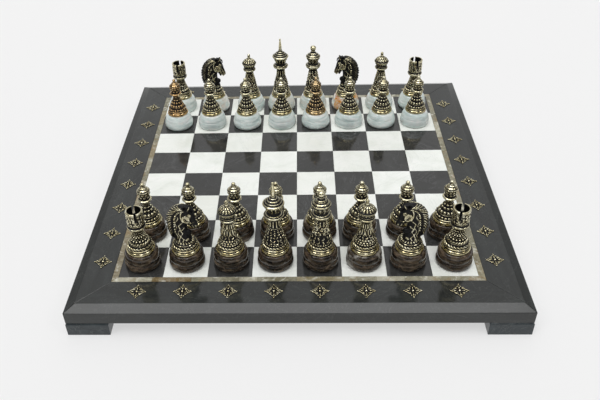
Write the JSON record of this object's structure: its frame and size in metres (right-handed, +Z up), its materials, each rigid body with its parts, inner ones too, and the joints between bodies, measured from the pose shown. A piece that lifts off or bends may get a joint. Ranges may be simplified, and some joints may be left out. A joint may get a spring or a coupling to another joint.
{
  "type": "chess set with board",
  "caption": "Chess set: brass figures on turned stone bases, standing on a framed marble chessboard on four corner feet; every piece lifts off.",
  "frame": {"origin": "under the middle of the board, on the plane the four feet stand on", "axes": "+Z up, +X to the right seen from the dark side, +Y from the dark side to the light side"},
  "size_m": [0.453, 0.453, 0.1348],
  "materials": {
    "dark_marble": "polished",
    "white_marble": "polished",
    "border_marble": "polished",
    "shell_inlay": "polished",
    "foot_marble": "honed",
    "backing_board": "matt black",
    "light_onyx": "polished",
    "dark_onyx": "polished",
    "antique_brass": "antiqued, dark in the recesses and polished on the ridges",
    "light_pawn": "polished",
    "dark_pawn": "polished"
  },
  "bodies": {
    "board": {"backing_panel": "backing_board", "border_front": "border_marble", "border_back": "border_marble", "border_left": "border_marble", "border_right": "border_marble", "inlay_frame": "shell_inlay", "dark_squares": "dark_marble", "light_squares": "white_marble", "foot_front_left": "foot_marble", "foot_front_right": "foot_marble", "foot_back_left": "foot_marble", "foot_back_right": "foot_marble"},
    "light_rook_h": {"light_rook_h_base": "light_onyx", "light_rook_h_figure": "antique_brass"},
    "light_knight_g": {"light_knight_g_base": "light_onyx", "light_knight_g_figure": "antique_brass"},
    "light_bishop_f": {"light_bishop_f_base": "light_onyx", "light_bishop_f_figure": "antique_brass"},
    "light_king": {"light_king_base": "light_onyx", "light_king_figure": "antique_brass"},
    "light_queen": {"light_queen_base": "light_onyx", "light_queen_figure": "antique_brass"},
    "light_knight_c": {"light_knight_c_base": "light_onyx", "light_knight_c_figure": "antique_brass"},
    "light_bishop_b": {"light_bishop_b_base": "light_onyx", "light_bishop_b_figure": "antique_brass"},
    "light_rook_a": {"light_rook_a_base": "light_onyx", "light_rook_a_figure": "antique_brass"},
    "light_pawn_h": {"light_pawn_h": "light_pawn"},
    "light_pawn_g": {"light_pawn_g": "light_pawn"},
    "light_pawn_f": {"light_pawn_f": "light_pawn"},
    "light_pawn_e": {"light_pawn_e": "light_pawn"},
    "light_pawn_d": {"light_pawn_d": "light_pawn"},
    "light_pawn_c": {"light_pawn_c": "light_pawn"},
    "light_pawn_b": {"light_pawn_b": "light_pawn"},
    "light_pawn_a": {"light_pawn_a": "light_pawn"},
    "dark_rook_h": {"dark_rook_h_base": "dark_onyx", "dark_rook_h_figure": "antique_brass"},
    "dark_knight_g": {"dark_knight_g_base": "dark_onyx", "dark_knight_g_figure": "antique_brass"},
    "dark_bishop_f": {"dark_bishop_f_base": "dark_onyx", "dark_bishop_f_figure": "antique_brass"},
    "dark_king": {"dark_king_base": "dark_onyx", "dark_king_figure": "antique_brass"},
    "dark_queen": {"dark_queen_base": "dark_onyx", "dark_queen_figure": "antique_brass"},
    "dark_bishop_c": {"dark_bishop_c_base": "dark_onyx", "dark_bishop_c_figure": "antique_brass"},
    "dark_knight_b": {"dark_knight_b_base": "dark_onyx", "dark_knight_b_figure": "antique_brass"},
    "dark_rook_a": {"dark_rook_a_base": "dark_onyx", "dark_rook_a_figure": "antique_brass"},
    "dark_pawn_h": {"dark_pawn_h": "dark_pawn"},
    "dark_pawn_g": {"dark_pawn_g": "dark_pawn"},
    "dark_pawn_f": {"dark_pawn_f": "dark_pawn"},
    "dark_pawn_e": {"dark_pawn_e": "dark_pawn"},
    "dark_pawn_d": {"dark_pawn_d": "dark_pawn"},
    "dark_pawn_c": {"dark_pawn_c": "dark_pawn"},
    "dark_pawn_b": {"dark_pawn_b": "dark_pawn"},
    "dark_pawn_a": {"dark_pawn_a": "dark_pawn"}
  },
  "joints": [
    {"name": "lift_light_rook_h", "type": "slide", "parent": "board", "child": "light_rook_h", "axis": [0, 0, 1], "range_m": [0, 0.13]},
    {"name": "lift_light_knight_g", "type": "slide", "parent": "board", "child": "light_knight_g", "axis": [0, 0, 1], "range_m": [0, 0.13]},
    {"name": "lift_light_bishop_f", "type": "slide", "parent": "board", "child": "light_bishop_f", "axis": [0, 0, 1], "range_m": [0, 0.13]},
    {"name": "lift_light_king", "type": "slide", "parent": "board", "child": "light_king", "axis": [0, 0, 1], "range_m": [0, 0.13]},
    {"name": "lift_light_queen", "type": "slide", "parent": "board", "child": "light_queen", "axis": [0, 0, 1], "range_m": [0, 0.13]},
    {"name": "lift_light_knight_c", "type": "slide", "parent": "board", "child": "light_knight_c", "axis": [0, 0, 1], "range_m": [0, 0.13]},
    {"name": "lift_light_bishop_b", "type": "slide", "parent": "board", "child": "light_bishop_b", "axis": [0, 0, 1], "range_m": [0, 0.13]},
    {"name": "lift_light_rook_a", "type": "slide", "parent": "board", "child": "light_rook_a", "axis": [0, 0, 1], "range_m": [0, 0.13]},
    {"name": "lift_light_pawn_h", "type": "slide", "parent": "board", "child": "light_pawn_h", "axis": [0, 0, 1], "range_m": [0, 0.13]},
    {"name": "lift_light_pawn_g", "type": "slide", "parent": "board", "child": "light_pawn_g", "axis": [0, 0, 1], "range_m": [0, 0.13]},
    {"name": "lift_light_pawn_f", "type": "slide", "parent": "board", "child": "light_pawn_f", "axis": [0, 0, 1], "range_m": [0, 0.13]},
    {"name": "lift_light_pawn_e", "type": "slide", "parent": "board", "child": "light_pawn_e", "axis": [0, 0, 1], "range_m": [0, 0.13]},
    {"name": "lift_light_pawn_d", "type": "slide", "parent": "board", "child": "light_pawn_d", "axis": [0, 0, 1], "range_m": [0, 0.13]},
    {"name": "lift_light_pawn_c", "type": "slide", "parent": "board", "child": "light_pawn_c", "axis": [0, 0, 1], "range_m": [0, 0.13]},
    {"name": "lift_light_pawn_b", "type": "slide", "parent": "board", "child": "light_pawn_b", "axis": [0, 0, 1], "range_m": [0, 0.13]},
    {"name": "lift_light_pawn_a", "type": "slide", "parent": "board", "child": "light_pawn_a", "axis": [0, 0, 1], "range_m": [0, 0.13]},
    {"name": "lift_dark_rook_h", "type": "slide", "parent": "board", "child": "dark_rook_h", "axis": [0, 0, 1], "range_m": [0, 0.13]},
    {"name": "lift_dark_knight_g", "type": "slide", "parent": "board", "child": "dark_knight_g", "axis": [0, 0, 1], "range_m": [0, 0.13]},
    {"name": "lift_dark_bishop_f", "type": "slide", "parent": "board", "child": "dark_bishop_f", "axis": [0, 0, 1], "range_m": [0, 0.13]},
    {"name": "lift_dark_king", "type": "slide", "parent": "board", "child": "dark_king", "axis": [0, 0, 1], "range_m": [0, 0.13]},
    {"name": "lift_dark_queen", "type": "slide", "parent": "board", "child": "dark_queen", "axis": [0, 0, 1], "range_m": [0, 0.13]},
    {"name": "lift_dark_bishop_c", "type": "slide", "parent": "board", "child": "dark_bishop_c", "axis": [0, 0, 1], "range_m": [0, 0.13]},
    {"name": "lift_dark_knight_b", "type": "slide", "parent": "board", "child": "dark_knight_b", "axis": [0, 0, 1], "range_m": [0, 0.13]},
    {"name": "lift_dark_rook_a", "type": "slide", "parent": "board", "child": "dark_rook_a", "axis": [0, 0, 1], "range_m": [0, 0.13]},
    {"name": "lift_dark_pawn_h", "type": "slide", "parent": "board", "child": "dark_pawn_h", "axis": [0, 0, 1], "range_m": [0, 0.13]},
    {"name": "lift_dark_pawn_g", "type": "slide", "parent": "board", "child": "dark_pawn_g", "axis": [0, 0, 1], "range_m": [0, 0.13]},
    {"name": "lift_dark_pawn_f", "type": "slide", "parent": "board", "child": "dark_pawn_f", "axis": [0, 0, 1], "range_m": [0, 0.13]},
    {"name": "lift_dark_pawn_e", "type": "slide", "parent": "board", "child": "dark_pawn_e", "axis": [0, 0, 1], "range_m": [0, 0.13]},
    {"name": "lift_dark_pawn_d", "type": "slide", "parent": "board", "child": "dark_pawn_d", "axis": [0, 0, 1], "range_m": [0, 0.13]},
    {"name": "lift_dark_pawn_c", "type": "slide", "parent": "board", "child": "dark_pawn_c", "axis": [0, 0, 1], "range_m": [0, 0.13]},
    {"name": "lift_dark_pawn_b", "type": "slide", "parent": "board", "child": "dark_pawn_b", "axis": [0, 0, 1], "range_m": [0, 0.13]},
    {"name": "lift_dark_pawn_a", "type": "slide", "parent": "board", "child": "dark_pawn_a", "axis": [0, 0, 1], "range_m": [0, 0.13]}
  ]
}
